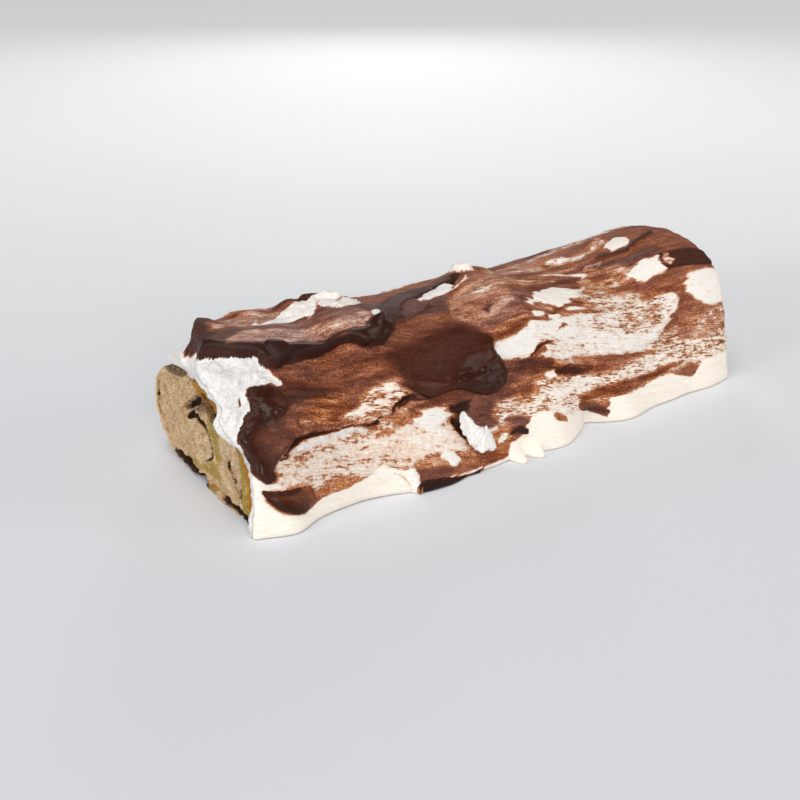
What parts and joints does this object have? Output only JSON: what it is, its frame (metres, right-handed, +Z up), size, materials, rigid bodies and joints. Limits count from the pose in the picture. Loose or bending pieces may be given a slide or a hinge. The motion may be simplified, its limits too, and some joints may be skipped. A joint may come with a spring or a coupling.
{
  "type": "yule log cake",
  "caption": "Long rolled sponge cake with filling, cream coat and streaky chocolate glaze, cut at the ends to show the spiral; lies flat to be sliced and served.",
  "frame": {"origin": "under the middle of the cake, on the surface it rests on", "axes": "+X along the log, away from the cut end that faces -X; -Y is the front with the loose curl of cream; +Z up"},
  "size_m": [0.32, 0.1521, 0.0842],
  "materials": {
    "sponge": "matte",
    "filling": "matte",
    "cream": "satin",
    "chocolate": "gloss"
  },
  "bodies": {
    "root": {"sponge_sheet": "sponge", "filling": "filling", "cream_coat": "cream", "chocolate_glaze": "chocolate", "cream_curl": "cream"}
  },
  "joints": []
}
